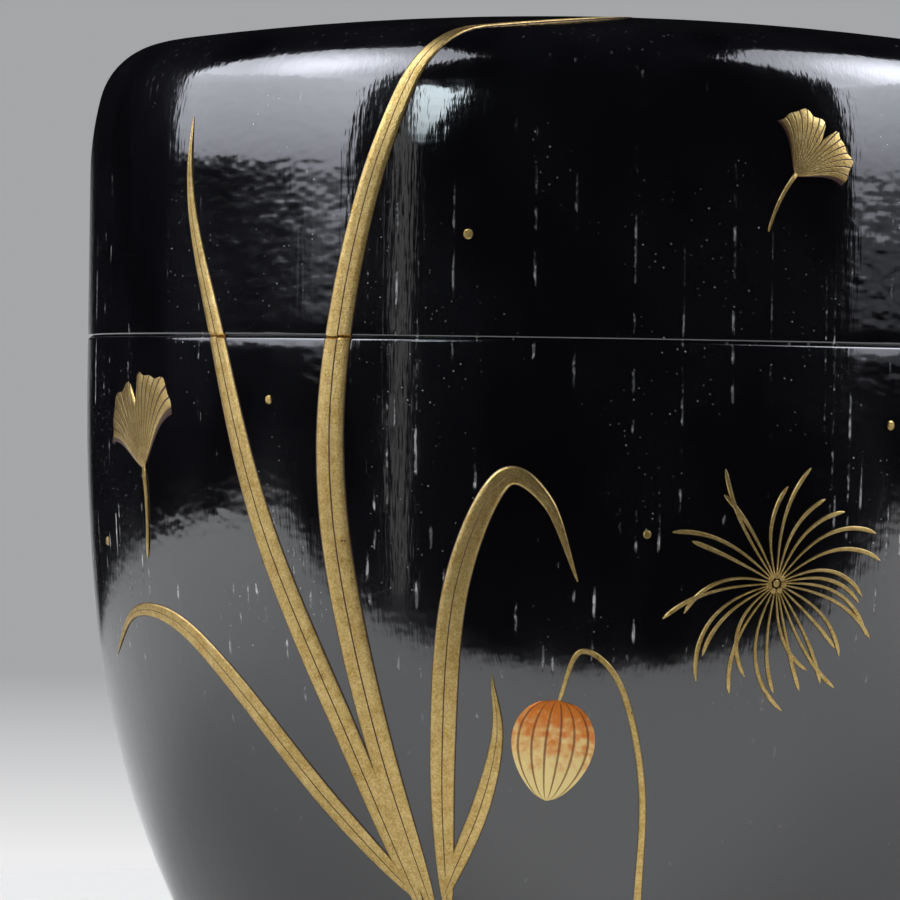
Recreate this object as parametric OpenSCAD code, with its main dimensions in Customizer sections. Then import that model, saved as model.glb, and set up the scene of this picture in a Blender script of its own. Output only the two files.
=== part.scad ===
// Natsume: a lidded tea caddy of turned wood under lacquer.
// Two turned cores, each inside its own coats of lacquer. The lid drops over
// the neck of the body until its rim lands on the shoulder, flush all round.
// Every section is an outline in (radius, height), swept about the Z axis.

/* [Overall] */
// Widest diameter, the same for the lid and the body
caddy_d = 66; // [50:0.5:80]
// Height of the joint between body and lid above the base
joint_z = 44; // [36:0.5:54]
// Height of the lid, from the joint to the middle of its crown
lid_h = 21.8; // [18:0.1:28]

/* [Lid form] */
// Radius of the low crown on top of the lid
crown_r = 190; // [120:1:260]
// Radius of the tight shoulder round the crown
shoulder_r = 4.8; // [3.6:0.1:7]
// Radius of the slower curve between the side and the shoulder
haunch_r = 21; // [15:0.5:28]
// Slope at which the haunch turns into the shoulder, in degrees
haunch_turn = 14; // [8:0.5:18]

/* [Body form] */
// Depth of the end of the straight side below the joint
belly_drop = 3; // [1:0.25:6]
// Radius of the belly curve under the straight side
belly_r = 140; // [100:1:200]
// Height at which the belly turns into the flank
waist_z = 25; // [19:0.5:31]
// Radius of the flank curve
flank_r = 60; // [50:1:90]
// Height at which the flank turns into the heel
heel_z = 6.5; // [4.5:0.25:8]
// Radius of the heel curve that runs in to the base
heel_r = 14; // [11.5:0.25:20]

/* [Walls] */
// Thickness of the lid, lacquer included
lid_wall = 2.4; // [1.9:0.05:3.1]
// Thickness of the body's flank, lacquer included
body_wall = 2.5; // [2:0.05:3.2]
// Thickness of the floor in the middle of the base, lacquer included
floor_t = 3.2; // [2.4:0.1:4.5]
// Radius of the corner between the floor and the wall inside the body
floor_corner_r = 6; // [4:0.25:7.5]
// Thickness of each coat of lacquer
lacquer_t = 0.3; // [0.2:0.01:0.4]

/* [Neck and fit] */
// Height of the neck above the joint
neck_h = 8; // [5:0.25:10]
// Thickness of the neck, lacquer included
neck_wall = 1.7; // [1.3:0.05:2.4]
// Clearance between the neck and the lid, on the radius
lid_clearance = 0.1; // [0.05:0.01:0.15]
// Ease on the mouth of the lid and on both edges of the neck
mouth_ease = 0.25; // [0.1:0.01:0.3]
// Ease on the two outer edges that meet at the joint
joint_ease = 0.15; // [0.05:0.01:0.2]

/* [Foot] */
// Width of the flat ring that the caddy rests on
foot_w = 2.2; // [1.5:0.1:3.5]
// Depth of the hollow inside the foot ring
foot_hollow = 0.8; // [0.4:0.05:1.2]
// Radius of the slope from the foot ring into the hollow
foot_cove_r = 3; // [1.6:0.1:5]

/* [Hidden] */
$fn = 180;

lacquer_colour = [0.03, 0.03, 0.035];
lining_colour = [0.06, 0.05, 0.05];
wood_colour = [0.74, 0.58, 0.39];

// How far a chord may lie inside the arc that it stands for
chord_sag = 0.004;

caddy_r = caddy_d / 2;
top_z = joint_z + lid_h;
floor_z = foot_hollow + floor_t;
neck_top_z = joint_z + neck_h;
lid_bore_r = caddy_r - lid_wall;
neck_r = lid_bore_r - lid_clearance;
neck_bore_r = neck_r - neck_wall;

// Slopes at which each curve hands over to the next, as the outward normal's angle
// above the horizontal on the lid and below it on the body
crown_turn = acos((caddy_r - shoulder_r * cos(haunch_turn) - haunch_r * (1 - cos(haunch_turn)))
                  / (crown_r - shoulder_r));
waist_turn = asin((joint_z - belly_drop - waist_z) / belly_r);
heel_turn = asin(sin(waist_turn) + (waist_z - heel_z) / flank_r);
foot_turn = asin(sin(heel_turn) + heel_z / heel_r);
cove_turn = asin(1 - foot_hollow / foot_cove_r);

// Centre of the curve of radius r1 that carries on from the one about c0 at normal a
function next_centre(c0, r0, r1, a) = c0 + (r0 - r1) * [cos(a), sin(a)];

crown_c = [0, top_z - crown_r];
shoulder_c = next_centre(crown_c, crown_r, shoulder_r, crown_turn);
haunch_c = next_centre(shoulder_c, shoulder_r, haunch_r, haunch_turn);
belly_c = [caddy_r - belly_r, joint_z - belly_drop];
flank_c = next_centre(belly_c, belly_r, flank_r, -waist_turn);
heel_c = next_centre(flank_c, flank_r, heel_r, -heel_turn);
foot_r = heel_c[0] + heel_r * cos(foot_turn);
cove_c = [foot_r - foot_w - foot_cove_r * cos(cove_turn), foot_hollow - foot_cove_r];

// Curves of the lid upwards and of the body downwards: centre, radius, normal at each end
lid_curves = [[haunch_c, haunch_r, 0, haunch_turn],
              [shoulder_c, shoulder_r, haunch_turn, crown_turn],
              [crown_c, crown_r, crown_turn, 90]];
body_curves = [[belly_c, belly_r, 0, -waist_turn],
               [flank_c, flank_r, -waist_turn, -heel_turn],
               [heel_c, heel_r, -heel_turn, -foot_turn]];

function on_curve(c, r, a) = c + r * [cos(a), sin(a)];

// Points along an arc from normal a0 to normal a1, without the first one
function arc(c, r, a0, a1) =
    let (steps = max(1, ceil(abs(a1 - a0) * PI / 180 * sqrt(r / (8 * chord_sag)))))
    [for (i = [1:steps]) on_curve(c, r, a0 + (a1 - a0) * i / steps)];

// The stretches of a chain of curves that lie between normals a0 and a1
function stretches(curves, a0, a1) =
    let (way = sign(a1 - a0))
    [for (s = curves)
        let (from = way * max(way * s[2], way * a0), to = way * min(way * s[3], way * a1))
        if (way * to > way * from) [s[0], s[1], from, to]];

// Points along a chain of curves between two normals, at a depth under its surface
function along(curves, depth, a0, a1) =
    let (parts = stretches(curves, a0, a1), first = parts[0])
    concat([on_curve(first[0], first[1] - depth, first[2])],
           [for (s = parts) each arc(s[0], s[1] - depth, s[2], s[3])]);

function reversed(points) = [for (i = [len(points) - 1:-1:0]) points[i]];

// Normal where the body's side, at a depth under its surface, comes down to height z
function normal_at_height(depth, z) =
    let (above = [for (s = body_curves) if (on_curve(s[0], s[1] - depth, s[2])[1] >= z) s],
         s = above[len(above) - 1])
    asin((z - s[0][1]) / (s[1] - depth));

// Normal where the body's side, at a depth under its surface, comes in to radius r
function normal_at_radius(depth, r) =
    let (outside = [for (s = body_curves) if (on_curve(s[0], s[1] - depth, s[2])[0] >= r) s],
         s = outside[len(outside) - 1])
    -acos((r - s[0][0]) / (s[1] - depth));

// Outline of the lid's surface at a depth under it, from the side to the crown
function lid_shell(depth) = along(lid_curves, depth, 0, 90);

// Outline of the body's side at a depth under it, from the joint down to height z
function body_side(depth, z) = along(body_curves, depth, 0, normal_at_height(depth, z));

// Outline of the hollow in the base, raised by depth, from height z in to the axis
function base_hollow(depth, z) =
    let (r = foot_cove_r + depth, start = asin((z - cove_c[1]) / r))
    concat([on_curve(cove_c, r, start)], arc(cove_c, r, start, 90), [[0, foot_hollow + depth]]);

// Outline of the room inside the body, grown by depth, from the axis up to the neck's top
function body_room(depth) =
    let (corner_depth = body_wall + floor_corner_r,
         turn = normal_at_height(corner_depth, floor_z + floor_corner_r),
         corner_c = along(body_curves, corner_depth, turn, -90)[0],
         corner_r = floor_corner_r + depth,
         bore = normal_at_radius(body_wall - depth, neck_bore_r + depth),
         wall = reversed(along(body_curves, body_wall - depth, bore, turn)),
         top = neck_top_z - depth)
    concat([[0, floor_z - depth], on_curve(corner_c, corner_r, -90)],
           arc(corner_c, corner_r, -90, turn),
           [for (i = [1:len(wall) - 1]) wall[i]],
           [[neck_bore_r + depth, top - mouth_ease], [neck_bore_r + depth + mouth_ease, top]]);

// Outline of the outside of the neck at a depth under it, from its top down to height z
function neck_side(depth, z) =
    let (r = neck_r - depth, top = neck_top_z - depth)
    [[r - mouth_ease, top], [r, top - mouth_ease], [r, z]];

module turned(outline) {
    rotate_extrude() polygon(outline);
}

module body_wood_core() {
    inset = lacquer_t;
    shoulder_z = joint_z - inset;
    color(wood_colour)
        turned(concat(neck_side(inset, shoulder_z), [[caddy_r - inset, shoulder_z]],
                      body_side(inset, inset), base_hollow(inset, inset), body_room(inset)));
}

module body_outer_lacquer() {
    color(lacquer_colour)
        turned(concat([[caddy_r - lacquer_t, joint_z], [caddy_r - joint_ease, joint_z],
                       [caddy_r, joint_z - joint_ease]],
                      body_side(0, lacquer_t), reversed(body_side(lacquer_t, lacquer_t))));
}

module body_base_lacquer() {
    color(lacquer_colour)
        turned(concat(along(body_curves, 0, normal_at_height(0, lacquer_t), -foot_turn),
                      base_hollow(0, 0), reversed(base_hollow(lacquer_t, lacquer_t))));
}

module body_inner_lacquer() {
    color(lining_colour)
        turned(concat(neck_side(0, joint_z),
                      [[caddy_r - lacquer_t, joint_z], [caddy_r - lacquer_t, joint_z - lacquer_t]],
                      reversed(neck_side(lacquer_t, joint_z - lacquer_t)),
                      reversed(body_room(lacquer_t)), body_room(0)));
}

module lid_wood_core() {
    inset = lacquer_t;
    color(wood_colour)
        turned(concat([[lid_bore_r + inset, joint_z + inset], [caddy_r - inset, joint_z + inset]],
                      lid_shell(inset), reversed(lid_shell(lid_wall - inset))));
}

module lid_outer_lacquer() {
    color(lacquer_colour)
        turned(concat([[caddy_r - lacquer_t, joint_z], [caddy_r - joint_ease, joint_z],
                       [caddy_r, joint_z + joint_ease]],
                      lid_shell(0), reversed(lid_shell(lacquer_t))));
}

module lid_inner_lacquer() {
    rim_z = joint_z + lacquer_t;
    color(lining_colour)
        turned(concat([[lid_bore_r, joint_z + mouth_ease], [lid_bore_r + mouth_ease, joint_z],
                       [caddy_r - lacquer_t, joint_z], [caddy_r - lacquer_t, rim_z],
                       [lid_bore_r + lacquer_t, rim_z]],
                      lid_shell(lid_wall - lacquer_t), reversed(lid_shell(lid_wall))));
}

body_wood_core();
body_outer_lacquer();
body_base_lacquer();
body_inner_lacquer();
lid_wood_core();
lid_outer_lacquer();
lid_inner_lacquer();
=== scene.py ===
"""Natsume: a lidded tea caddy in black lacquer with gold figures."""
import math

import bmesh
import bpy
import numpy as np
from mathutils import Matrix, Vector


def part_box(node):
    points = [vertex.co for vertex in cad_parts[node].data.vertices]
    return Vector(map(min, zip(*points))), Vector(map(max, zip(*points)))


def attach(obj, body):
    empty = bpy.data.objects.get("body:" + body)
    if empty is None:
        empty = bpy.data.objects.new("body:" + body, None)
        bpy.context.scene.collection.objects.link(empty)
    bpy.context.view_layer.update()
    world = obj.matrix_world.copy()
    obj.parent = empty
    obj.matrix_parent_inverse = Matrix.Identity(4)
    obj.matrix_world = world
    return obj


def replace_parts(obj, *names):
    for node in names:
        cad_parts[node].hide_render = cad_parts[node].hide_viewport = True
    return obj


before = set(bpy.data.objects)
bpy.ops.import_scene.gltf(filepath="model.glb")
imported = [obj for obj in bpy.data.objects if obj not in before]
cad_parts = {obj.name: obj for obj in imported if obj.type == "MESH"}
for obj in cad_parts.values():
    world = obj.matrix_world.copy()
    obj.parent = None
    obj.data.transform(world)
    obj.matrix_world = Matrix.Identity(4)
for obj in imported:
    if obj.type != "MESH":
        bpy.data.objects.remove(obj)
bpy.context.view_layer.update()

joint_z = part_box("lid_outer_lacquer")[0][2]
foot_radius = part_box("body_base_lacquer")[1][0]

MM = 0.001
SAME = 1e-6               # places nearer than this are one place
DIGITS = 6                # places are rounded to this many, in metres
ROUND_STEPS = 400         # facets round a turned piece
SECTORS = 8               # a turned piece is spun as one of these, and doubled three times
SOFT_CORNER = 0.06 * MM   # lacquer never leaves a truly sharp corner
CORNER_SHARE = 0.45       # the most of a straight run that its rounding may take
CORNER_POINTS = 5
STRAIGHT = math.radians(0.05)   # a smaller turn than this is no corner
SHARP_TURN = math.radians(25)
JOINT_EASE = 0.15 * MM    # the outer edges at the joint are eased by this much
LIP = 1.0 * MM            # how far from the joint the outer lacquer begins to draw in
LIP_DEPTH = 0.04 * MM
LIP_INSIDE = 32.7 * MM    # only the outer skin, beyond this radius, has that lip
FINE = 0.1 * MM           # spacing of the rings near the joint
FINE_REACH = 2 * MM
EVEN = 0.6 * MM           # and of those further off, while the walls are upright
EVEN_REACH = 12 * MM

# ------------------------------------------------------------------ sections of the frame's nodes


def half_section(node):
    """Points (radius, height) round half of a turned node, in order, and whether they close."""
    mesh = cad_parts[node].data
    places = np.empty(len(mesh.vertices) * 3)
    mesh.vertices.foreach_get("co", places)
    places = places.reshape(-1, 3)
    on_section = (abs(places[:, 1]) < SAME) & (places[:, 0] > -SAME)
    pairs = np.empty(len(mesh.edges) * 2, dtype=int)
    mesh.edges.foreach_get("vertices", pairs)
    pairs = pairs.reshape(-1, 2)
    links = {}
    for pair in pairs[on_section[pairs].all(axis=1)]:
        a, b = ((max(round(x, DIGITS), 0.0), round(z, DIGITS))
                for x, _, z in places[pair].tolist())
        if a != b:
            links.setdefault(a, set()).add(b)
            links.setdefault(b, set()).add(a)
    for rim in [p for p in links if len(links[p]) == 1 and p[0] > 0]:
        # A flat disc has no edge along the section, so its rim is joined to the axis.
        links[rim].add((0.0, rim[1]))
        links[(0.0, rim[1])] = {rim}
    ends = [p for p in links if len(links[p]) == 1]
    chain = [max(ends or links, key=lambda p: (p[1], p[0]))]
    while True:
        onward = [p for p in sorted(links[chain[-1]], reverse=True) if p not in chain[-2:]]
        if not onward or onward[0] == chain[0]:
            break
        chain.append(onward[0])
    return [Vector(p) for p in chain], not ends


def turn_at(before, here, after):
    """Angle by which a chain of points turns at one of them."""
    return abs((here - before).angle_signed(after - here, 0.0))


def softened(chain, closed):
    """The chain without points on straight runs, and with its sharp corners rounded."""
    count = len(chain)
    kept = [p for i, p in enumerate(chain)
            if (not closed and i in (0, count - 1))
            or turn_at(chain[i - 1], p, chain[(i + 1) % count]) > STRAIGHT]
    count = len(kept)
    points = []
    for i, p in enumerate(kept):
        if not closed and i in (0, count - 1):
            points.append(p)
            continue
        before, after = kept[i - 1], kept[(i + 1) % count]
        if turn_at(before, p, after) < SHARP_TURN:
            points.append(p)
            continue
        a, b = before - p, after - p
        reach = min(SOFT_CORNER, a.length * CORNER_SHARE, b.length * CORNER_SHARE)
        a, b = p + a.normalized() * reach, p + b.normalized() * reach
        for k in range(CORNER_POINTS):
            t = k / (CORNER_POINTS - 1)
            points.append(a * (1 - t) ** 2 + p * 2 * t * (1 - t) + b * t * t)
    return points


# ------------------------------------------------------------------ making turned pieces


def finish_piece(name, bm, body, finish):
    """Wraps a closed mesh as a piece that rides on a body, with the given finish."""
    bmesh.ops.recalc_face_normals(bm, faces=bm.faces)
    if bm.calc_volume(signed=True) < 0:
        # A thin bent sheet may have been judged the wrong way round.
        bmesh.ops.reverse_faces(bm, faces=bm.faces)
    mesh = bpy.data.meshes.new(name)
    bm.to_mesh(mesh)
    bm.free()
    mesh.materials.append(finish)
    mesh.shade_smooth()
    mesh.set_sharp_from_angle(angle=SHARP_TURN)
    piece = bpy.data.objects.new(name, mesh)
    bpy.context.collection.objects.link(piece)
    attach(piece, body)
    return piece


def divided(chain, spacing, reach):
    """The chain with the outer wall's runs divided evenly, within reach of the joint."""
    points = []
    for a, b in zip(chain, chain[1:] + chain[:1]):
        pieces = 1
        if max(abs(a.y - joint_z), abs(b.y - joint_z)) < reach and min(a.x, b.x) > LIP_INSIDE:
            pieces = max(1, round((b - a).length / spacing))
        points += [a.lerp(b, k / pieces) for k in range(pieces)]
    return points


def lipped(chain, way):
    """The chain with the lacquer drawn in a little towards the joint, by its surface tension.

    The way is 1 for the lid, above the joint, and -1 for the body. Even rings keep the shading
    of the eased edge from spreading up and down the walls.
    """
    points = divided(divided(chain, EVEN, EVEN_REACH), FINE, FINE_REACH)
    for i, p in enumerate(points):
        near = 1 - way * (p.y - joint_z) / LIP
        if near > 0 and p.x > LIP_INSIDE:
            points[i] = Vector((p.x - LIP_DEPTH * near ** 2, p.y))
    return points


def turned_piece(name, node, body, finish, lip=0):
    """A finely turned copy of a node, so that gloss runs over it without facets.

    The lip is the way that an outer coat draws in, or 0 for the coats that don't.
    """
    chain, closed = half_section(node)
    chain = softened(chain, closed)
    if lip:
        chain = lipped(chain, lip)
    bm = bmesh.new()
    verts = [bm.verts.new((p.x, 0, p.y)) for p in chain]
    pairs = list(zip(verts, verts[1:])) + ([(verts[-1], verts[0])] if closed else [])
    edges = [bm.edges.new(pair) for pair in pairs]
    # One sector is spun, then doubled until it closes, which is much quicker than a full spin.
    bmesh.ops.spin(bm, geom=verts + edges, cent=(0, 0, 0), axis=(0, 0, 1), dvec=(0, 0, 0),
                   angle=2 * math.pi / SECTORS, steps=ROUND_STEPS // SECTORS, use_merge=False,
                   use_duplicate=False)
    for sectors_made in (1, 2, 4):
        more = bmesh.ops.duplicate(bm, geom=bm.verts[:] + bm.edges[:] + bm.faces[:])["geom"]
        moved = [v for v in more if isinstance(v, bmesh.types.BMVert)]
        turn = Matrix.Rotation(2 * math.pi * sectors_made / SECTORS, 3, "Z")
        bmesh.ops.rotate(bm, cent=(0, 0, 0), verts=moved, matrix=turn)
    bmesh.ops.remove_doubles(bm, verts=bm.verts, dist=0.1 * SAME)
    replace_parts(finish_piece(name, bm, body, finish), node)


# ------------------------------------------------------------------ the skin that the gold lies on


def outer_skin():
    """Points (radius, height) down the outside, from the middle of the crown to the foot."""
    lid_chain, _ = half_section("lid_outer_lacquer")
    body_chain, _ = half_section("body_outer_lacquer")
    down = []
    # The skin runs straight over the joint, without the eased edges in it.
    for p in lid_chain:
        if p.y < joint_z + JOINT_EASE * 0.9:
            break
        down.append(p)
    low = min(p.y for p in body_chain)
    goes_inwards = body_chain[1].x < body_chain[0].x
    if goes_inwards:
        body_chain = body_chain[:1] + body_chain[:0:-1]
    for p in body_chain[1:]:
        down.append(p)
        if p.y <= low + SAME:
            break
    return np.array([tuple(p) for p in down])


skin = outer_skin()
skin_runs = np.diff(skin, axis=0)
skin_lengths = np.hypot(*skin_runs.T)
skin_normals = np.stack([-skin_runs[:, 1], skin_runs[:, 0]], axis=1) / skin_lengths[:, None]
corner_normals = np.vstack([skin_normals[:1], skin_normals[:-1] + skin_normals[1:],
                            skin_normals[-1:]])
corner_normals /= np.linalg.norm(corner_normals, axis=1)[:, None]
skin_travel = np.concatenate([[0], np.cumsum(skin_lengths)])
joint_travel = np.interp(-joint_z, -skin[:, 1], skin_travel)


def on_skin(azimuth, rise):
    """Places on the skin, at azimuths from the front in degrees and rises from the joint in mm."""
    travel = joint_travel - np.asarray(rise) * MM
    radius = np.interp(travel, skin_travel, skin[:, 0])
    height = np.interp(travel, skin_travel, skin[:, 1])
    turn = np.radians(np.asarray(azimuth))
    return np.stack([radius * np.sin(turn), -radius * np.cos(turn), height], axis=-1)


def to_skin(places):
    """The nearest places on the skin, and the outward normals there."""
    flat = np.stack([np.hypot(places[:, 0], places[:, 1]), places[:, 2]], axis=1)
    along = ((flat[:, None] - skin[None, :-1]) * skin_runs).sum(-1) / skin_lengths ** 2
    along = along.clip(0, 1)
    nearest = skin[None, :-1] + along[..., None] * skin_runs
    pick = np.linalg.norm(nearest - flat[:, None], axis=-1).argmin(1)
    row = np.arange(len(places))
    t = along[row, pick][:, None]
    foot = nearest[row, pick]
    normal = corner_normals[pick] * (1 - t) + corner_normals[pick + 1] * t
    turn = np.arctan2(places[:, 1], places[:, 0])
    round_about = np.stack([np.cos(turn), np.sin(turn)], axis=1)
    return (np.column_stack([round_about * foot[:, :1], foot[:, 1]]),
            np.column_stack([round_about * normal[:, :1], normal[:, 1]]))


def facing_place(azimuth, rise, turn=0.0):
    """A function from rights and ups in mm, about a place on the skin, to places near it.

    The turn is in degrees, clockwise from upright.
    """
    centre = on_skin([azimuth], [rise])
    normal = Vector(to_skin(centre)[1][0])
    up = Vector(on_skin([azimuth], [rise + 0.1])[0] - centre[0]).normalized()
    spin = Matrix.Rotation(math.radians(-turn), 3, normal)
    right, up = np.array(spin @ up.cross(normal)), np.array(spin @ up)
    return lambda x, y: centre + (np.outer(x, right) + np.outer(y, up)) * MM


# ------------------------------------------------------------------ raised figures

LIFT = 0.11 * MM         # how far a figure stands up
ROOT_DEPTH = 0.04 * MM   # how deep its back lies in the lacquer
EDGE_FALL = 0.8          # the share of its height that it loses towards its edge
CUT_GAP = 0.012 * MM     # how far each part of a cut figure stays from the joint
CUT_HEIGHT = 0.3         # the share of its height that is left there


def lay_sheet(bm, uv, columns, rows, shape):
    """Adds one sheet of a figure, laid on the skin with its front outwards.

    Its shape turns acrosses from -1 to 1 and alongs from 0 to 1 into places near the skin.
    """
    old_verts, old_faces = set(bm.verts), set(bm.faces)
    bmesh.ops.create_grid(bm, x_segments=columns, y_segments=rows, size=1.0)
    verts = [v for v in bm.verts if v not in old_verts]
    faces = [f for f in bm.faces if f not in old_faces]
    across = np.array([v.co.x for v in verts])
    along = np.array([v.co.y / 2 + 0.5 for v in verts])
    places, _ = to_skin(shape(across, along))
    for vert, u, v, place in zip(verts, across, along, places):
        vert.co = place
        for loop in vert.link_loops:
            loop[uv].uv = (u / 2 + 0.5, v)
    for face in faces:
        face.normal_update()
    middle = faces[len(faces) // 2]
    outward = Vector(to_skin(np.array([middle.calc_center_median()[:]]))[1][0])
    if middle.normal.dot(outward) < 0:
        bmesh.ops.reverse_faces(bm, faces=faces)


def raised_figure(name, sheets, finish, lift=LIFT):
    """A figure in relief, from sheets that are each (columns, rows, shape).

    A figure that crosses the joint is cut there, and each part rides on its own body.
    """
    for body, way in (("lid", 1), ("body", -1)):
        bm = bmesh.new()
        uv = bm.loops.layers.uv.new("figure")
        for sheet in sheets:
            lay_sheet(bm, uv, *sheet)
        # The first cut only leaves a row of points where the eased edge begins.
        for cut, drop_rest in ((way * JOINT_EASE, False), (0.0, True)):
            bmesh.ops.bisect_plane(bm, geom=bm.verts[:] + bm.edges[:] + bm.faces[:],
                                   plane_co=(0, 0, joint_z + cut), plane_no=(0, 0, way),
                                   dist=SAME, clear_inner=drop_rest)
        if not bm.faces:
            bm.free()
            continue
        places, normals = to_skin(np.array([v.co[:] for v in bm.verts]))
        for vert, place, normal in zip(bm.verts, places, normals):
            spot = vert.link_loops[0][uv].uv
            edge = max(abs(spot.x * 2 - 1), abs(spot.y * 2 - 1))
            raised = lift * (1 - EDGE_FALL * edge ** 8)
            if abs(place[2] - joint_z) < SAME:
                # The figure runs over the eased edge into the joint.
                place = place - normal * JOINT_EASE
                place[2] = joint_z + way * CUT_GAP
                raised = CUT_HEIGHT * lift
            vert.co = place + normal * raised
        bm.normal_update()
        bmesh.ops.solidify(bm, geom=bm.faces, thickness=lift + ROOT_DEPTH)
        finish_piece(f"{name}_{body}", bm, body, finish)


def curve_through(*points):
    """A smooth curve through points, each an azimuth in degrees and a rise in mm."""
    points = np.array(points, dtype=float)
    points = np.vstack([2 * points[0] - points[1], points, 2 * points[-1] - points[-2]])

    def at(along):
        step = np.clip(along, 0, 1 - 1e-9) * (len(points) - 3)
        k = step.astype(int)
        t = (step - k)[:, None]
        a, b, c, d = (points[k + i] for i in range(4))
        curve = 0.5 * (2 * b + (c - a) * t + (2 * a - 5 * b + 4 * c - d) * t ** 2
                       + (3 * b - a - 3 * c + d) * t ** 3)
        return on_skin(curve[:, 0], curve[:, 1])
    return at


def stroke(centre, width, taper, rows, columns):
    """A sheet for a brush stroke along a curve, with its greatest width in mm."""
    step = 0.004

    def shape(across, along):
        here, normal = to_skin(centre(along))
        ahead = centre(np.minimum(along + step, 1)) - centre(np.maximum(along - step, 0))
        side = np.cross(ahead, normal)
        side /= np.linalg.norm(side, axis=1)[:, None]
        return here + side * (0.5 * width * MM * taper(along) * across)[:, None]
    return columns, rows, shape


def grass(along):
    """Narrow at the root, widest a third of the way up, and drawn out to a point."""
    return 0.04 + 0.96 * np.sin(np.pi * along ** 0.62) ** 0.75 * (1 - 0.25 * along)


def petal(along):
    """Thin at the middle of the flower, swelling before a round end."""
    return (0.3 + 0.7 * along) * np.sqrt(np.clip(1 - along ** 14, 0.03, 1))


def stalk(along):
    """Even, thinning a little upwards, with a soft end."""
    return (1 - 0.4 * along) * np.sqrt(np.clip(1 - along ** 30, 0.05, 1))


def ginkgo_fan(place, size, spread=118, notch=0.3):
    """A sheet for a ginkgo leaf's fan, from its narrow foot to its wavy, notched edge."""
    def shape(across, along):
        turn = np.radians(spread / 2) * across
        wave = 1 + 0.035 * np.sin(11 * across + 1) + 0.02 * np.sin(23 * across)
        edge = size * wave * (1 - notch * np.exp(-(across / 0.07) ** 2)) * (1 - 0.16 * across ** 4)
        reach = edge * (0.03 + 0.97 * along)
        bend = 0.55 * turn * (1 - along) * along
        return place(reach * np.sin(turn - bend), reach * np.cos(turn - bend))
    return 44, 16, shape


def ginkgo(name, azimuth, rise, size, turn):
    """A ginkgo leaf with its slender stalk, at a place on the skin."""
    place = facing_place(azimuth, rise, turn)
    sway = math.copysign(0.22 * size, turn)
    tucked_in = 0.04 * size
    stalk_length = 0.95 * size

    def stalk_line(along):
        return place(sway * along ** 2, tucked_in - stalk_length * along)
    raised_figure(f"{name}_fan", [ginkgo_fan(place, size)], leaf_gold)
    raised_figure(f"{name}_stalk", [stroke(stalk_line, 0.075 * size, stalk, 30, 6)], plain_gold)


def drop(place, x, y, radius):
    """A sheet for a round drop, as a grid squeezed into a disc."""
    def shape(across, along):
        up = along * 2 - 1
        return place(x + radius * across * np.sqrt(1 - up * up / 2),
                     y + radius * up * np.sqrt(1 - across * across / 2))
    return 6, 6, shape


def petal_line(place, way, length, curl, start=0.35):
    """The middle of a petal that leaves the flower in one way and curls round to another."""
    def centre(along):
        reach = start + (length - start) * along
        bearing = way + curl * along ** 1.8
        return place(reach * np.sin(bearing), reach * np.cos(bearing))
    return centre


def spider_flower(name, azimuth, rise, size, petals):
    """A spider chrysanthemum: thin petals all round a ring of small drops."""
    place = facing_place(azimuth, rise)
    sheets = []
    for k in range(petals):
        # Slow waves make the petals uneven, as a brush does.
        way = 2 * math.pi * (k + 0.22 * math.sin(5.3 * k)) / petals
        length = size * (0.74 + 0.26 * math.sin(2.4 * k + 1) ** 2)
        curl = 0.5 * math.sin(way + 0.6) + 0.22 * math.sin(3.1 * k)
        sheets.append(stroke(petal_line(place, way, length, curl), 0.36, petal, 22, 5))
    beads = 7
    ring_radius = 0.5
    for k in range(beads):
        way = 2 * math.pi * k / beads
        sheets.append(drop(place, ring_radius * math.sin(way), ring_radius * math.cos(way), 0.2))
    sheets.append(drop(place, 0, 0, 0.24))
    raised_figure(name, sheets, plain_gold)


def lantern(name, azimuth, rise, length, turn):
    """A hanging seed pod, broad below its stem and drawn to a point at the bottom."""
    place = facing_place(azimuth, rise, turn)

    def shape(across, along):
        # Its ends keep a hair of width, so that no face closes up.
        half = 0.39 * length * np.sin(np.pi * along ** 0.72) ** 0.62 + 0.012 * length
        return place(half * across * (1 - 0.04 * np.cos(np.pi * along)), -length * along)
    raised_figure(name, [(24, 36, shape)], pod_lacquer, lift=0.16 * MM)


# ------------------------------------------------------------------ material helpers


def srgb(code):
    """Linear colour from an sRGB hex value."""
    parts = [int(code[i:i + 2], 16) / 255 for i in (1, 3, 5)]
    linear = [c / 12.92 if c <= 0.04045 else ((c + 0.055) / 1.055) ** 2.4 for c in parts]
    return (*linear, 1.0)


def add(tree, kind, inputs=None, **settings):
    """Adds a node with its settings; an input may be given a value, a socket or a whole node."""
    made = tree.nodes.new(kind)
    for name, value in settings.items():
        setattr(made, name, value)
    for name, value in (inputs or {}).items():
        if isinstance(name, int):
            socket = made.inputs[name]
        else:
            socket = next(s for s in made.inputs if s.enabled and s.name == name)
        if isinstance(value, bpy.types.Node):
            value = next(s for s in value.outputs if s.enabled)
        if isinstance(value, bpy.types.NodeSocket):
            tree.links.new(value, socket)
        else:
            socket.default_value = value
    return made


def new_material(name):
    """A material with an empty node tree and its output."""
    material = bpy.data.materials.new(name)
    material.use_nodes = True
    material.node_tree.nodes.clear()
    return material, material.node_tree, add(material.node_tree, "ShaderNodeOutputMaterial")


def cells(tree, *sizes):
    """Places on the piece, counted in cells of the given sizes in mm, for a pattern to read."""
    place = add(tree, "ShaderNodeTexCoord").outputs["Object"]
    return add(tree, "ShaderNodeMapping",
               {"Vector": place, "Scale": [1 / (size * MM) for size in sizes]})


def by_height(tree, low, high, below, above, kind="SMOOTHSTEP"):
    """A share that changes from one to the other between two heights on the caddy, in mm."""
    place = add(tree, "ShaderNodeTexCoord").outputs["Object"]
    level = add(tree, "ShaderNodeSeparateXYZ", {0: place}).outputs["Z"]
    return add(tree, "ShaderNodeMapRange",
               {"Value": level, "From Min": low * MM, "From Max": high * MM, "To Min": below,
                "To Max": above}, interpolation_type=kind)


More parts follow.
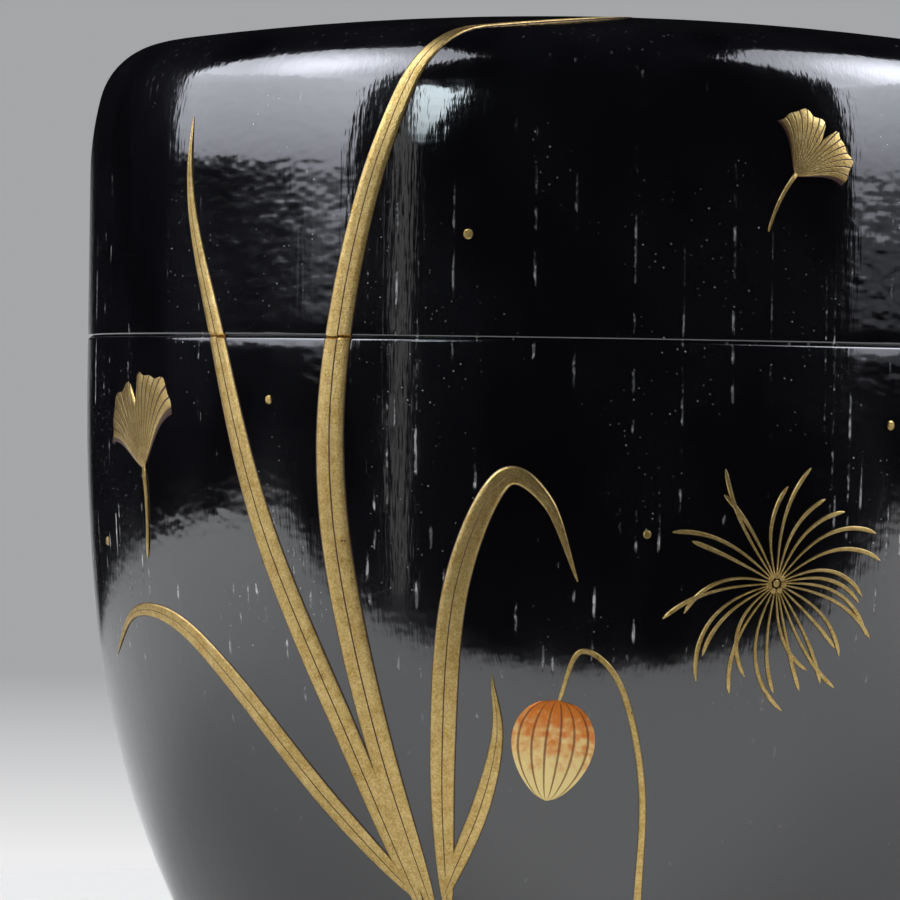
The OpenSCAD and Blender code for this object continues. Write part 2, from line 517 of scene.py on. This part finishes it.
def off_middle(tree, value, repeats=1):
    """How far a value from 0 to 1 is from the middle of the repeat it falls in, in repeats."""
    place = add(tree, "ShaderNodeMath", {0: value, 1: repeats}, operation="MULTIPLY")
    place = add(tree, "ShaderNodeMath", {0: place}, operation="FRACT")
    place = add(tree, "ShaderNodeMath", {0: place, 1: 0.5}, operation="SUBTRACT")
    return add(tree, "ShaderNodeMath", {0: place}, operation="ABSOLUTE")


# ------------------------------------------------------------------ materials


def black_urushi():
    """Urushi lacquer, brushed on, rubbed down and polished over open-grained wood.

    A deep black with a mirror gloss that ripples along the grain. The wood's vessels have sunk
    a little into it as fine upright dashes. Some of them are painted pale, as a painted highlight
    for the glints that the sunken pores catch, and pale specks of dust lie about them.
    """
    material, tree, out = new_material("black_urushi")
    swell = add(tree, "ShaderNodeTexNoise",
                {"Vector": cells(tree, 3, 3, 7), "Scale": 1.0, "Detail": 1.0})
    ripple = add(tree, "ShaderNodeTexNoise",
                 {"Vector": cells(tree, 0.32, 0.32, 3.6), "Scale": 1.0, "Detail": 2.0,
                  "Roughness": 0.6})
    peel = add(tree, "ShaderNodeTexNoise",
               {"Vector": cells(tree, 1.3, 1.3, 0.85), "Scale": 1.0, "Detail": 1.0})
    patches = add(tree, "ShaderNodeTexNoise",
                  {"Vector": cells(tree, 7, 7, 12), "Scale": 1.0, "Detail": 2.0})
    beads = add(tree, "ShaderNodeTexNoise",
                {"Vector": cells(tree, 0.35, 0.35, 0.55), "Scale": 1.0, "Detail": 3.0,
                 "Roughness": 0.65})

    # The vessels are upright lines in the wood, and show where the turned surface cuts them.
    crooked = add(tree, "ShaderNodeVectorMath",
                  {0: beads.outputs["Color"], 1: (0.22, 0.22, 0.0),
                   2: cells(tree, 0.75, 0.75, 1).outputs[0]}, operation="MULTIPLY_ADD")
    vessels = add(tree, "ShaderNodeTexVoronoi", {"Vector": crooked, "Scale": 1.0},
                  voronoi_dimensions="2D")
    pores = add(tree, "ShaderNodeMapRange",
                {"Value": vessels, "From Min": 0.06, "From Max": 0.17, "To Min": 1.0,
                 "To Max": 0.0}, interpolation_type="SMOOTHSTEP")
    lengths = add(tree, "ShaderNodeTexNoise",
                  {"Vector": cells(tree, 0.9, 0.9, 1.9), "Scale": 1.0, "Detail": 2.0})
    lengths = add(tree, "ShaderNodeMath", {0: patches, 1: 0.8, 2: lengths},
                  operation="MULTIPLY_ADD")
    shown = add(tree, "ShaderNodeMapRange", {"Value": lengths, "From Min": 0.93, "From Max": 1.09},
                interpolation_type="SMOOTHSTEP")
    # Towards the foot and the shoulder the curve was rubbed down further, and fewer are left.
    above_foot = by_height(tree, 18, 27, 0.1, 1.0)
    below_shoulder = by_height(tree, 45, 56, 1.0, 0.15)
    for share in (shown, above_foot, below_shoulder):
        pores = add(tree, "ShaderNodeMath", {0: pores, 1: share}, operation="MULTIPLY")
    # Painted highlight: part of each pore is painted pale, for the glints that the sunken pores
    # catch.
    glint_share = add(tree, "ShaderNodeMapRange",
                 {"Value": beads, "From Min": 0.44, "From Max": 0.68, "To Min": 0.06,
                  "To Max": 0.72}, interpolation_type="SMOOTHSTEP")
    pore_glint = add(tree, "ShaderNodeMath", {0: pores, 1: glint_share}, operation="MULTIPLY")

    # Specks of dust, of uneven strength and in patches. Few are left on the crown.
    specks = add(tree, "ShaderNodeTexVoronoi",
                 {"Vector": cells(tree, 0.45, 0.45, 0.45), "Scale": 1.0})
    dust = add(tree, "ShaderNodeMapRange",
               {"Value": specks, "From Min": 0.045, "From Max": 0.105, "To Min": 1.0,
                "To Max": 0.0}, interpolation_type="SMOOTHSTEP")
    strength = add(tree, "ShaderNodeSeparateXYZ", {0: specks.outputs["Color"]}).outputs["X"]
    strength = add(tree, "ShaderNodeMath", {0: strength, 1: 1.5}, operation="POWER")
    dusty = add(tree, "ShaderNodeMapRange", {"Value": patches, "From Min": 0.47, "From Max": 0.6},
                interpolation_type="SMOOTHSTEP")
    below_crown = by_height(tree, 57, 62, 1.0, 0.1)
    for share in (strength, dusty, above_foot, below_crown):
        dust = add(tree, "ShaderNodeMath", {0: dust, 1: share}, operation="MULTIPLY")
    # The pale marks are painted pore highlights and real specks of dust. The black takes the pale
    # colour there.
    powder = add(tree, "ShaderNodeMath", {0: pore_glint, 1: dust}, operation="MAXIMUM")

    # A faint haze of handling lies over the black, in clouds.
    haze = add(tree, "ShaderNodeMapRange", {"Value": patches, "From Min": 0.36, "From Max": 0.64})
    black = add(tree, "ShaderNodeMix",
                {"Factor": haze, "A": srgb("#060608"), "B": srgb("#0e0e11")}, data_type="RGBA")
    colour = add(tree, "ShaderNodeMix",
                 {"Factor": powder, "A": black, "B": srgb("#ece9e2")}, data_type="RGBA")

    # The flank was easier to rub level than the lid, so its gloss is dimpled less.
    dimples = by_height(tree, 24, 42, 0.25, 0.8, "LINEAR")
    height = add(tree, "ShaderNodeMath", {0: ripple, 1: 0.44, 2: swell}, operation="MULTIPLY_ADD")
    height = add(tree, "ShaderNodeMath", {0: peel, 1: dimples, 2: height},
                 operation="MULTIPLY_ADD")
    height = add(tree, "ShaderNodeMath", {0: pores, 1: -0.3, 2: height}, operation="MULTIPLY_ADD")
    bump = add(tree, "ShaderNodeBump", {"Height": height, "Strength": 1.0, "Distance": 0.022 * MM})

    # An open pore has lost its gloss too, so it is dark where the black mirrors something pale.
    rough = add(tree, "ShaderNodeMapRange", {"Value": haze, "To Min": 0.07, "To Max": 0.11})
    for dull in (pores, powder):
        rough = add(tree, "ShaderNodeMath", {0: dull, 1: 0.3, 2: rough}, operation="MULTIPLY_ADD")
    shader = add(tree, "ShaderNodeBsdfPrincipled",
                 {"Base Color": colour, "Roughness": rough, "IOR": 1.7, "Specular IOR Level": 0.82,
                  "Normal": bump})
    tree.links.new(shader.outputs[0], out.inputs[0])
    return material


def lining_urushi():
    """Black urushi inside and under the caddy, brushed and left as it dried.

    A softer gloss than outside, without pores or powder.
    """
    material, tree, out = new_material("lining_urushi")
    brushed = add(tree, "ShaderNodeTexNoise",
                  {"Vector": cells(tree, 6, 6, 1.4), "Scale": 1.0, "Detail": 2.0})
    swell = add(tree, "ShaderNodeTexNoise",
                {"Vector": cells(tree, 5, 5, 5), "Scale": 1.0, "Detail": 1.0})
    height = add(tree, "ShaderNodeMath", {0: brushed, 1: 0.3, 2: swell}, operation="MULTIPLY_ADD")
    bump = add(tree, "ShaderNodeBump", {"Height": height, "Strength": 1.0, "Distance": 0.02 * MM})
    rough = add(tree, "ShaderNodeMapRange",
                {"Value": swell, "From Min": 0.35, "From Max": 0.65, "To Min": 0.1,
                 "To Max": 0.17})
    shader = add(tree, "ShaderNodeBsdfPrincipled",
                 {"Base Color": srgb("#0a0808"), "Roughness": rough, "IOR": 1.6, "Normal": bump})
    tree.links.new(shader.outputs[0], out.inputs[0])
    return material


def turned_hardwood():
    """Sealed hardwood, turned with the grain upright: warm brown with fine darker vessels."""
    material, tree, out = new_material("turned_hardwood")
    grain = add(tree, "ShaderNodeTexNoise",
                {"Vector": cells(tree, 0.5, 0.5, 9), "Scale": 1.0, "Detail": 3.0,
                 "Roughness": 0.6})
    tone = add(tree, "ShaderNodeMapRange", {"Value": grain, "From Min": 0.35, "From Max": 0.65})
    colour = add(tree, "ShaderNodeMix",
                 {"Factor": tone, "A": srgb("#8a6238"), "B": srgb("#c39a63")}, data_type="RGBA")
    bump = add(tree, "ShaderNodeBump", {"Height": grain, "Strength": 1.0, "Distance": 0.05 * MM})
    shader = add(tree, "ShaderNodeBsdfPrincipled",
                 {"Base Color": colour, "Roughness": 0.55, "Normal": bump})
    tree.links.new(shader.outputs[0], out.inputs[0])
    return material


def sprinkled_gold(name, veins):
    """Gold powder sprinkled into wet lacquer and burnished, with lines scratched along the figure.

    A soft, grainy yellow shine. The red-brown lacquer that it was laid in shows as a thin rim,
    in the scratched lines and where the powder is worn.
    """
    material, tree, out = new_material(name)
    figure = add(tree, "ShaderNodeUVMap", uv_map="figure")
    across = add(tree, "ShaderNodeSeparateXYZ", {0: figure}).outputs["X"]
    # The powder is finer than shows from here, so its grain is drawn at 0.12 to 0.14 mm.
    grain = add(tree, "ShaderNodeTexVoronoi",
                {"Vector": cells(tree, 0.12, 0.12, 0.12), "Scale": 1.0})
    tint = add(tree, "ShaderNodeTexNoise",
               {"Vector": cells(tree, 0.9, 0.9, 0.9), "Scale": 1.0, "Detail": 3.0,
                "Roughness": 0.65})
    sand = add(tree, "ShaderNodeTexNoise",
               {"Vector": cells(tree, 0.14, 0.14, 0.14), "Scale": 1.0, "Detail": 1.0})
    tone = add(tree, "ShaderNodeMath", {0: tint, 1: sand}, operation="ADD")
    tone = add(tree, "ShaderNodeMapRange", {"Value": tone, "From Min": 0.66, "From Max": 1.34})
    gold = add(tree, "ShaderNodeMix",
               {"Factor": tone, "A": srgb("#ab8a48"), "B": srgb("#dcc283")}, data_type="RGBA")
    rim = add(tree, "ShaderNodeMapRange",
              {"Value": off_middle(tree, across), "From Min": 0.44, "From Max": 0.485},
              interpolation_type="SMOOTHSTEP")
    worn = add(tree, "ShaderNodeMapRange",
               {"Value": tint, "From Min": 0.3, "From Max": 0.24}, interpolation_type="SMOOTHSTEP")
    bare = add(tree, "ShaderNodeMath", {0: rim, 1: worn}, operation="MAXIMUM")
    if veins:
        # Half a scratched line's width, as a share of the space between the lines.
        wide = 0.03 if veins == 1 else 0.13
        scratch = add(tree, "ShaderNodeMapRange",
                      {"Value": off_middle(tree, across, veins), "From Min": wide * 0.5,
                       "From Max": wide, "To Min": 1.0, "To Max": 0.0},
                      interpolation_type="SMOOTHSTEP")
        bare = add(tree, "ShaderNodeMath", {0: bare, 1: scratch}, operation="MAXIMUM")
    colour = add(tree, "ShaderNodeMix",
                 {"Factor": bare, "A": gold, "B": srgb("#3a1c10")}, data_type="RGBA")
    metal = add(tree, "ShaderNodeMath", {0: 1.0, 1: bare}, operation="SUBTRACT")
    height = add(tree, "ShaderNodeMath", {0: bare, 1: -1.5, 2: grain}, operation="MULTIPLY_ADD")
    bump = add(tree, "ShaderNodeBump", {"Height": height, "Strength": 1.0, "Distance": 0.012 * MM})
    shader = add(tree, "ShaderNodeBsdfPrincipled",
                 {"Base Color": colour, "Metallic": metal, "Roughness": 0.38, "Normal": bump})
    tree.links.new(shader.outputs[0], out.inputs[0])
    return material


def tinted_pod_lacquer():
    """Pigmented lacquer under a little gold powder: orange at the stem, cream at the tip."""
    material, tree, out = new_material("tinted_pod_lacquer")
    figure = add(tree, "ShaderNodeUVMap", uv_map="figure")
    split = add(tree, "ShaderNodeSeparateXYZ", {0: figure})
    tint = add(tree, "ShaderNodeTexNoise",
               {"Vector": cells(tree, 0.5, 0.5, 0.5), "Scale": 1.0, "Detail": 3.0})
    fade = add(tree, "ShaderNodeMath", {0: tint, 1: 1.1, 2: split.outputs["Y"]},
               operation="MULTIPLY_ADD")
    fade = add(tree, "ShaderNodeMapRange", {"Value": fade, "From Min": 0.62, "From Max": 1.3},
               interpolation_type="SMOOTHSTEP")
    colour = add(tree, "ShaderNodeMix",
                 {"Factor": fade, "A": srgb("#da7717"), "B": srgb("#efd58c")}, data_type="RGBA")
    ribs = 6
    line = add(tree, "ShaderNodeMapRange",
               {"Value": off_middle(tree, split.outputs["X"], ribs), "From Min": 0.05,
                "From Max": 0.12, "To Min": 0.75, "To Max": 0.0},
               interpolation_type="SMOOTHSTEP")
    colour = add(tree, "ShaderNodeMix",
                 {"Factor": line, "A": colour, "B": srgb("#6e2f08")}, data_type="RGBA")
    height = add(tree, "ShaderNodeMath", {0: line, 1: -1.0, 2: tint}, operation="MULTIPLY_ADD")
    bump = add(tree, "ShaderNodeBump", {"Height": height, "Strength": 1.0, "Distance": 0.04 * MM})
    shader = add(tree, "ShaderNodeBsdfPrincipled",
                 {"Base Color": colour, "Metallic": 0.25, "Roughness": 0.38, "Normal": bump})
    tree.links.new(shader.outputs[0], out.inputs[0])
    return material


# ------------------------------------------------------------------ camera

CAMERA_DISTANCE = 400 * MM      # from the caddy's axis
CAMERA_BELOW_JOINT = 3.6 * MM
AIM_LEFT = 8.47 * MM            # the view is centred a little left of the axis
AIM_BELOW_JOINT = 7.24 * MM
CAMERA_ROLL = math.radians(0.92)
VIEW_WIDTH = 60.85 * MM         # what the frame takes in at the axis
SENSOR = 36.0

camera_data = bpy.data.cameras.new("camera")
camera_data.sensor_width = SENSOR
camera_data.lens = SENSOR * CAMERA_DISTANCE / VIEW_WIDTH
camera = bpy.data.objects.new("camera", camera_data)
bpy.context.collection.objects.link(camera)
bpy.context.scene.camera = camera

eye = Vector((0, -CAMERA_DISTANCE, joint_z - CAMERA_BELOW_JOINT))
aim = Vector((-AIM_LEFT, 0, joint_z - AIM_BELOW_JOINT))
facing = (aim - eye).to_track_quat("-Z", "Y").to_matrix()
camera.matrix_world = (Matrix.Translation(eye)
                       @ (facing @ Matrix.Rotation(CAMERA_ROLL, 3, "Z")).to_4x4())

# ------------------------------------------------------------------ studio

PALE = srgb("#ededee")
BACKDROP_GREY = srgb("#a5a6a8")
DARK_ROOM = srgb("#0c0c0e")


def studio_world():
    """A plain backdrop, pale below and grey above, with a dark room in front of the caddy.

    The camera sees the backdrop all round. Gloss sees it only low down behind the caddy, and
    the dark room elsewhere. What is straight below is pale for every ray, but the table hides
    it from all but the foot.
    """
    world = bpy.data.worlds.new("studio")
    bpy.context.scene.world = world
    world.use_nodes = True
    tree = world.node_tree
    tree.nodes.clear()
    # The limits below are parts of a direction of length 1.
    way = add(tree, "ShaderNodeTexCoord").outputs["Generated"]
    way = add(tree, "ShaderNodeSeparateXYZ", {0: way})
    climb = add(tree, "ShaderNodeMapRange",
                {"Value": way.outputs["Z"], "From Min": -0.0785, "From Max": -0.0475})
    backdrop = add(tree, "ShaderNodeMix", {"Factor": climb, "A": PALE, "B": BACKDROP_GREY},
                   data_type="RGBA")
    rays = add(tree, "ShaderNodeLightPath")
    behind = add(tree, "ShaderNodeMapRange",
                 {"Value": way.outputs["Y"], "From Min": 0.94, "From Max": 0.985},
                 interpolation_type="SMOOTHSTEP")
    low = add(tree, "ShaderNodeMapRange",
              {"Value": way.outputs["Z"], "From Min": 0.0, "From Max": 0.06, "To Min": 1.0,
               "To Max": 0.0}, interpolation_type="SMOOTHSTEP")
    mirrored = add(tree, "ShaderNodeMath",
                   {0: rays.outputs["Is Glossy Ray"], 1: rays.outputs["Is Transmission Ray"]},
                   operation="MAXIMUM")
    for share in (behind, low):
        mirrored = add(tree, "ShaderNodeMath", {0: mirrored, 1: share}, operation="MULTIPLY")
    under = add(tree, "ShaderNodeMapRange",
                {"Value": way.outputs["Z"], "From Min": -0.35, "From Max": -0.6},
                interpolation_type="SMOOTHSTEP")
    seen = rays.outputs["Is Camera Ray"]
    for also in (mirrored, under):
        seen = add(tree, "ShaderNodeMath", {0: seen, 1: also}, operation="MAXIMUM")
    colour = add(tree, "ShaderNodeMix", {"Factor": seen, "A": DARK_ROOM, "B": backdrop},
                 data_type="RGBA")
    light = add(tree, "ShaderNodeBackground", {"Color": colour, "Strength": 1.0})
    out = add(tree, "ShaderNodeOutputWorld")
    tree.links.new(light.outputs[0], out.inputs[0])


TABLE_RADIUS = 340 * MM
FADE_START = 60 * MM            # the camera sees the table fade out from this radius
FADE_END = 130 * MM             # to this one
FRONT_WAY = (0.055, -1.0, 0.0)  # gloss sees the table end in front, square to this
FRONT_REACH = 100 * MM          # and this far off
FRONT_SOFT = 5 * MM


def pale_floor():
    """A white table top that fades into the backdrop, with a front edge that only gloss sees.

    It isn't there from below or under the foot, so that the caddy's base can be looked at.
    """
    material, tree, out = new_material("white_table_top")
    place = add(tree, "ShaderNodeTexCoord").outputs["Object"]
    distance = add(tree, "ShaderNodeVectorMath", {0: place}, operation="LENGTH").outputs["Value"]
    rays = add(tree, "ShaderNodeLightPath")
    fade = add(tree, "ShaderNodeMapRange",
               {"Value": distance, "From Min": FADE_START, "From Max": FADE_END},
               interpolation_type="SMOOTHSTEP")
    faded = add(tree, "ShaderNodeMath", {0: fade, 1: rays.outputs["Is Camera Ray"]},
                operation="MULTIPLY")
    forward = add(tree, "ShaderNodeVectorMath", {0: place, 1: FRONT_WAY},
                  operation="DOT_PRODUCT").outputs["Value"]
    beyond = add(tree, "ShaderNodeMapRange",
                 {"Value": forward, "From Min": FRONT_REACH, "From Max": FRONT_REACH + FRONT_SOFT})
    ended = add(tree, "ShaderNodeMath", {0: beyond, 1: rays.outputs["Is Glossy Ray"]},
                operation="MULTIPLY")
    underside = add(tree, "ShaderNodeNewGeometry").outputs["Backfacing"]
    under_foot = add(tree, "ShaderNodeMath", {0: distance, 1: foot_radius - 1 * MM},
                     operation="LESS_THAN")
    gone = faded
    for also in (ended, underside, under_foot):
        gone = add(tree, "ShaderNodeMath", {0: gone, 1: also}, operation="MAXIMUM")
    table = add(tree, "ShaderNodeBsdfDiffuse", {"Color": srgb("#e2e0d8")})
    through = add(tree, "ShaderNodeBsdfTransparent")
    mixed = add(tree, "ShaderNodeMixShader", {0: gone, 1: table, 2: through})
    tree.links.new(mixed.outputs[0], out.inputs[0])
    bm = bmesh.new()
    bmesh.ops.create_circle(bm, cap_ends=True, radius=TABLE_RADIUS, segments=96)
    mesh = bpy.data.meshes.new("floor")
    bm.to_mesh(mesh)
    bm.free()
    mesh.materials.append(material)
    floor = bpy.data.objects.new("floor", mesh)
    bpy.context.collection.objects.link(floor)


def direction(azimuth, elevation):
    """The way to a place in the studio, at an azimuth from the front towards +X."""
    turn, rise = math.radians(azimuth), math.radians(elevation)
    return Vector((math.sin(turn) * math.cos(rise), -math.cos(turn) * math.cos(rise),
                   math.sin(rise)))


def studio_place(azimuth, elevation, distance, roll=0.0):
    """Where a lamp stands, at a distance from the middle of the joint, with its back to +Z."""
    way = direction(azimuth, elevation)
    return (Matrix.Translation(Vector((0, 0, joint_z)) + way * distance)
            @ way.to_track_quat("Z", "Y").to_matrix().to_4x4()
            @ Matrix.Rotation(math.radians(roll), 4, "Z"))


SHEET_AWAY = 0.5    # how far a sheet of cloth stands from the caddy, in metres
HOT_RADIUS = 0.2    # how far the light of its hot place reaches
DIM_HEM = 0.2       # the share of its light that is left along its bottom
CRISP = 1e-4        # the stretch in which the light of an ordinary bottom edge fades in
CLOTH_WHITE = "#f0f3ff"


def diffuser(name, azimuth, elevation, corners, radiances, roll=0, hot=(0.0, 0.0),
             hot_radiance=0.0, soft=CRISP, colour=CLOTH_WHITE):
    """A sheet of lit diffusing cloth beside the caddy, turned to face it.

    Each corner is the azimuth and elevation in which the caddy sees it, from the bottom back
    one round to the top back one. The radiances are those along its bottom and its top, and
    a hot place, in metres from the middle, may add its own. It fades in over a soft stretch
    at its bottom.
    """
    facing_caddy = studio_place(azimuth, elevation, SHEET_AWAY, roll)
    bm = bmesh.new()
    verts = []
    for corner in corners:
        way = facing_caddy.to_3x3().inverted() @ direction(*corner)
        verts.append(bm.verts.new((way.x / way.z * SHEET_AWAY, way.y / way.z * SHEET_AWAY, 0)))
    bm.faces.new(verts)
    bottom = min(v.co.y for v in verts)
    top = max(v.co.y for v in verts)

    material, tree, out = new_material(name)
    place = add(tree, "ShaderNodeTexCoord").outputs["Object"]
    climb = add(tree, "ShaderNodeSeparateXYZ", {0: place}).outputs["Y"]
    glow = add(tree, "ShaderNodeMapRange",
               {"Value": climb, "From Min": bottom, "From Max": top, "To Min": radiances[0],
                "To Max": radiances[1]})
    faded = add(tree, "ShaderNodeMapRange",
                {"Value": climb, "From Min": bottom, "From Max": bottom + soft,
                 "To Min": DIM_HEM}, interpolation_type="SMOOTHSTEP")
    off = add(tree, "ShaderNodeVectorMath", {0: place, 1: (*hot, 0.0)},
              operation="DISTANCE").outputs["Value"]
    core = add(tree, "ShaderNodeMapRange",
               {"Value": off, "From Min": 0.0, "From Max": HOT_RADIUS, "To Min": hot_radiance,
                "To Max": 0.0}, interpolation_type="SMOOTHSTEP")
    glow = add(tree, "ShaderNodeMath", {0: glow, 1: faded, 2: core}, operation="MULTIPLY_ADD")
    cloth = add(tree, "ShaderNodeEmission", {"Color": srgb(colour), "Strength": glow})
    tree.links.new(cloth.outputs[0], out.inputs[0])

    mesh = bpy.data.meshes.new(name)
    bm.to_mesh(mesh)
    bm.free()
    mesh.materials.append(material)
    sheet = bpy.data.objects.new(name, mesh)
    sheet.matrix_world = facing_caddy
    bpy.context.collection.objects.link(sheet)
    sheet.visible_camera = False


def lamp(name, azimuth, elevation, distance, width, height, radiance):
    """A rectangular white lamp that faces the caddy."""
    data = bpy.data.lights.new(name, "AREA")
    data.shape = "RECTANGLE"
    data.size = width
    data.size_y = height
    data.energy = radiance * math.pi * width * height
    made = bpy.data.objects.new(name, data)
    made.matrix_world = studio_place(azimuth, elevation, distance)
    bpy.context.collection.objects.link(made)
    made.visible_camera = False


studio_world()
pale_floor()
# On each side a low and a high sheet of cloth, and the dim hem that hangs under the low one.
diffuser("diffuser_left_hem", -58, 1.7, ((-63.5, 0.7), (-52.6, 0.7), (-52.8, 2.65), (-63.5, 2.7)),
         (0.26, 0.34))
diffuser("diffuser_left_low", -86, 16.6, ((-103, 5.2), (-52.8, 2.6), (-51, 28), (-114, 28)),
         (1.9, 4.4), roll=-4.8, soft=0.006)
diffuser("diffuser_left_high", -86, 51, ((-114, 26), (-50, 26), (-41, 66), (-100, 71)),
         (5.0, 2.2), hot=(0.06, -0.03), hot_radiance=4.8)
diffuser("diffuser_right_hem", 77, 1.7, ((92, 0.7), (64, 0.7), (63.8, 2.65), (92, 2.7)),
         (0.22, 0.3))
diffuser("diffuser_right_low", 95, 16.6, ((125, 4.6), (63.7, 2.6), (63.5, 28), (125, 28)),
         (1.3, 4.0), roll=4.0, soft=0.006)
diffuser("diffuser_right_high", 95, 51, ((125, 26), (63.7, 26), (61, 66), (118, 69)),
         (5.0, 2.2), hot=(0.0, -0.07), hot_radiance=5.0)
# Further round to the front on the left, a faint upright strip and a small window.
lamp("strip_left", -40, 9, 0.7, 0.042, 0.56, 0.45)
diffuser("window_left", -34, 20, ((-37, 9.5), (-34.5, 10.5), (-26.5, 27), (-39.3, 28)),
         (3.2, 6.5), hot=(0.0, 0.06), hot_radiance=2.0, soft=0.03, colour="#dcebf2")

# ------------------------------------------------------------------ the caddy

lacquer = black_urushi()
lining = lining_urushi()
wood = turned_hardwood()
blade_gold = sprinkled_gold("sprinkled_gold_blades", 1)
leaf_gold = sprinkled_gold("sprinkled_gold_leaves", 17)
plain_gold = sprinkled_gold("sprinkled_gold_lines", 0)
pod_lacquer = tinted_pod_lacquer()

turned_piece("body_outer_coat", "body_outer_lacquer", "body", lacquer, -1)
turned_piece("body_base_coat", "body_base_lacquer", "body", lining)
turned_piece("body_inner_coat", "body_inner_lacquer", "body", lining)
turned_piece("lid_outer_coat", "lid_outer_lacquer", "lid", lacquer, 1)
turned_piece("lid_inner_coat", "lid_inner_lacquer", "lid", lining)
for node in ("body_wood_core", "lid_wood_core"):
    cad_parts[node].data.materials[0] = wood

# ------------------------------------------------------------------ the gold figures

# A tuft of long grass fans up from the foot, over the joint and on to the crown. Each blade has
# its greatest width in mm, and then the points that it runs through, each an azimuth and a rise.
BLADES = {
    "blade_1": (1.7, (-20, -36), (-30, -30), (-42, -22.5), (-52, -18.5), (-62, -18), (-70, -21)),
    "blade_2": (2.0, (-19.5, -37), (-27, -25), (-37, -12), (-44, 0), (-48.5, 8), (-49, 14)),
    "blade_3": (2.3, (-18, -37), (-23.5, -24), (-27.5, -11), (-27, 0), (-22, 12), (-13, 22),
                (14, 37)),
    "blade_4": (1.9, (-16, -37), (-15, -26), (-13, -15.5), (-8, -8.8), (-3, -10), (0.5, -15)),
    "blade_5": (1.3, (-16.5, -36), (-11, -30), (-8.5, -25), (-9, -21)),
}
for order, (name, (width, *points)) in enumerate(BLADES.items()):
    # Where blades cross, each later one lies a little higher.
    raised_figure(name, [stroke(curve_through(*points), width, grass, 90, 8)], blade_gold,
                  lift=(0.1 + 0.01 * order) * MM)

# Ginkgo leaves drift round it. Each has its azimuth and rise, its size in mm and its turn.
LEAVES = {
    "leaf_large": (-58, -8.6, 6.2, -14),
    "leaf_shoulder": (24, 10.5, 4.2, 40),
    "leaf_right": (62, -9, 4.8, -38),
    "leaf_crown": (150, 37, 5.6, 20),
    "leaf_left": (-112, 6, 4.6, 62),
    "leaf_back": (-140, -15, 4.8, -70),
}
for name, (azimuth, rise, size, turn) in LEAVES.items():
    ginkgo(name, azimuth, rise, size, turn)

spider_flower("flower", 23, -15, 8.2, 28)

# The pod hangs from a stem that rises beside the grass.
lantern("pod", -1.5, -22.5, 6.6, 6)
stem_line = curve_through((9, -36), (8.5, -28), (5.5, -21.5), (1, -19.4), (-1.5, -22.7))
raised_figure("pod_stem", [stroke(stem_line, 0.5, stalk, 60, 6)], plain_gold)

# Each dew drop has its azimuth, its rise and its radius in mm.
DEW = ((-70, -13.5, 0.3), (-36, -4, 0.28), (-12, 6.5, 0.32), (8, -12, 0.26), (37, -5, 0.3))
dew_sheets = [drop(facing_place(azimuth, rise), 0, 0, radius) for azimuth, rise, radius in DEW]
raised_figure("dew", dew_sheets, plain_gold)

bpy.context.scene.view_settings.view_transform = "Standard"
